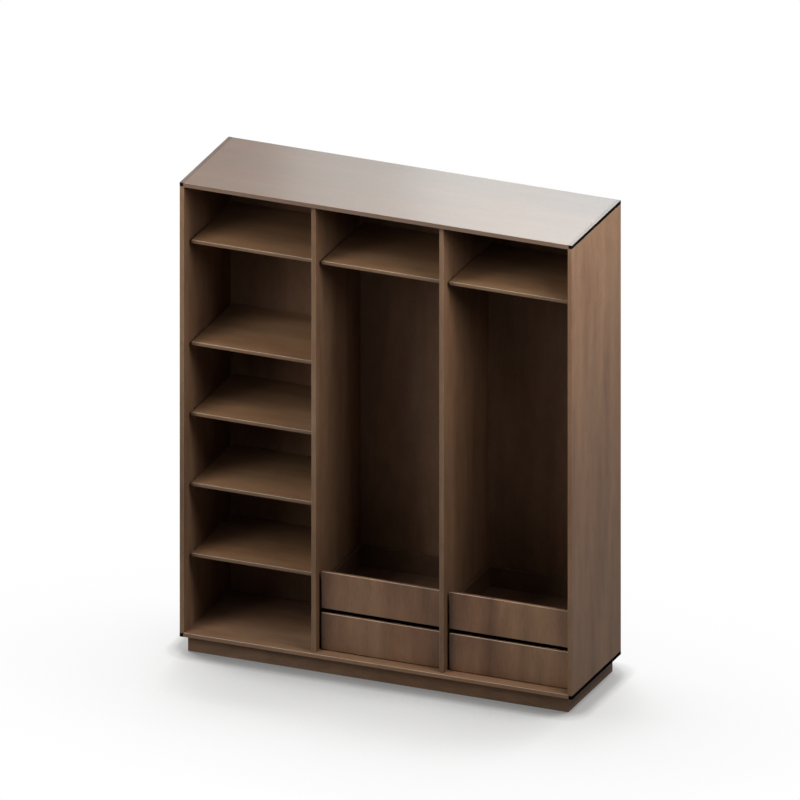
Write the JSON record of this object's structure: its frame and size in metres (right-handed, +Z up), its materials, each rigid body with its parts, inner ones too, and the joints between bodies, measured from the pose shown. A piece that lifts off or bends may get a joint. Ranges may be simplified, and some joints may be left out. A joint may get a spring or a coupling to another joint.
{
  "type": "open-front wardrobe",
  "caption": "Open-front three-bay wardrobe on a recessed plinth, with shelves, two hanging bays and full-extension drawers.",
  "frame": {"origin": "on the floor, under the middle of the wardrobe", "axes": "+Z up, +X to the right seen from the open front, -Y out of the open front"},
  "size_m": [2, 0.6, 2.4],
  "materials": {
    "walnut": "satin lacquered walnut veneer, fine vertical grain",
    "walnut_plinth": "satin lacquered walnut veneer",
    "walnut_back": "matt walnut veneer on thin board",
    "walnut_box": "matt walnut-coloured board",
    "black_profile": "gloss black anodised",
    "bright_steel": "zinc plated",
    "rail_steel": "dark bronze plated tube",
    "runner_steel": "black plated pressed sheet",
    "dark_metal": "black powder coated steel",
    "beech": "bare beech"
  },
  "bodies": {
    "carcass": {"side_left": "walnut", "side_right": "walnut", "top_panel": "walnut", "bottom_panel": "walnut", "divider_left": "walnut", "divider_right": "walnut", "back_left": "walnut_back", "back_middle": "walnut_back", "back_right": "walnut_back", "corner_profile_top_left": "black_profile", "corner_profile_top_right": "black_profile", "corner_profile_bottom_left": "black_profile", "corner_profile_bottom_right": "black_profile", "shelf_1": "walnut", "shelf_2": "walnut", "shelf_3": "walnut", "shelf_4": "walnut", "hat_shelf_left": "walnut", "hat_shelf_middle": "walnut", "hat_shelf_right": "walnut", "shelf_pins": "dark_metal", "plinth_front": "walnut_plinth", "plinth_rear": "walnut_plinth", "plinth_rails": "walnut_plinth", "hanging_rail_middle": "rail_steel", "hanging_rail_right": "rail_steel", "rail_sockets": "dark_metal", "runner_cabinet_members": "runner_steel", "carcass_screws": "bright_steel", "cam_fittings": "bright_steel", "dowels": "beech", "wall_angles": "dark_metal"},
    "drawer_middle_low": {"drawer_middle_low_front": "walnut", "drawer_middle_low_box_sides": "walnut_box", "drawer_middle_low_box_ends": "walnut_box", "drawer_middle_low_box_bottom": "walnut_box", "drawer_middle_low_runner_members": "runner_steel", "drawer_middle_low_screws": "bright_steel"},
    "drawer_middle_low_middles": {"drawer_middle_low_runner_middles": "runner_steel"},
    "drawer_middle_high": {"drawer_middle_high_front": "walnut", "drawer_middle_high_box_sides": "walnut_box", "drawer_middle_high_box_ends": "walnut_box", "drawer_middle_high_box_bottom": "walnut_box", "drawer_middle_high_runner_members": "runner_steel", "drawer_middle_high_screws": "bright_steel"},
    "drawer_middle_high_middles": {"drawer_middle_high_runner_middles": "runner_steel"},
    "drawer_right_low": {"drawer_right_low_front": "walnut", "drawer_right_low_box_sides": "walnut_box", "drawer_right_low_box_ends": "walnut_box", "drawer_right_low_box_bottom": "walnut_box", "drawer_right_low_runner_members": "runner_steel", "drawer_right_low_screws": "bright_steel"},
    "drawer_right_low_middles": {"drawer_right_low_runner_middles": "runner_steel"},
    "drawer_right_high": {"drawer_right_high_front": "walnut", "drawer_right_high_box_sides": "walnut_box", "drawer_right_high_box_ends": "walnut_box", "drawer_right_high_box_bottom": "walnut_box", "drawer_right_high_runner_members": "runner_steel", "drawer_right_high_screws": "bright_steel"},
    "drawer_right_high_middles": {"drawer_right_high_runner_middles": "runner_steel"}
  },
  "joints": [
    {"name": "drawer_middle_low_slide", "type": "slide", "parent": "carcass", "child": "drawer_middle_low", "axis": [0, -1, 0], "range_m": [0, 0.45]},
    {"name": "drawer_middle_low_middles_slide", "type": "slide", "parent": "carcass", "child": "drawer_middle_low_middles", "axis": [0, -1, 0], "range_m": [0, 0.225]},
    {"name": "drawer_middle_high_slide", "type": "slide", "parent": "carcass", "child": "drawer_middle_high", "axis": [0, -1, 0], "range_m": [0, 0.45]},
    {"name": "drawer_middle_high_middles_slide", "type": "slide", "parent": "carcass", "child": "drawer_middle_high_middles", "axis": [0, -1, 0], "range_m": [0, 0.225]},
    {"name": "drawer_right_low_slide", "type": "slide", "parent": "carcass", "child": "drawer_right_low", "axis": [0, -1, 0], "range_m": [0, 0.45]},
    {"name": "drawer_right_low_middles_slide", "type": "slide", "parent": "carcass", "child": "drawer_right_low_middles", "axis": [0, -1, 0], "range_m": [0, 0.225]},
    {"name": "drawer_right_high_slide", "type": "slide", "parent": "carcass", "child": "drawer_right_high", "axis": [0, -1, 0], "range_m": [0, 0.45]},
    {"name": "drawer_right_high_middles_slide", "type": "slide", "parent": "carcass", "child": "drawer_right_high_middles", "axis": [0, -1, 0], "range_m": [0, 0.225]}
  ],
  "couplings": [
    {"joint": "drawer_middle_low_middles_slide", "follows": "drawer_middle_low_slide", "ratio": 0.5},
    {"joint": "drawer_middle_high_middles_slide", "follows": "drawer_middle_high_slide", "ratio": 0.5},
    {"joint": "drawer_right_low_middles_slide", "follows": "drawer_right_low_slide", "ratio": 0.5},
    {"joint": "drawer_right_high_middles_slide", "follows": "drawer_right_high_slide", "ratio": 0.5}
  ]
}
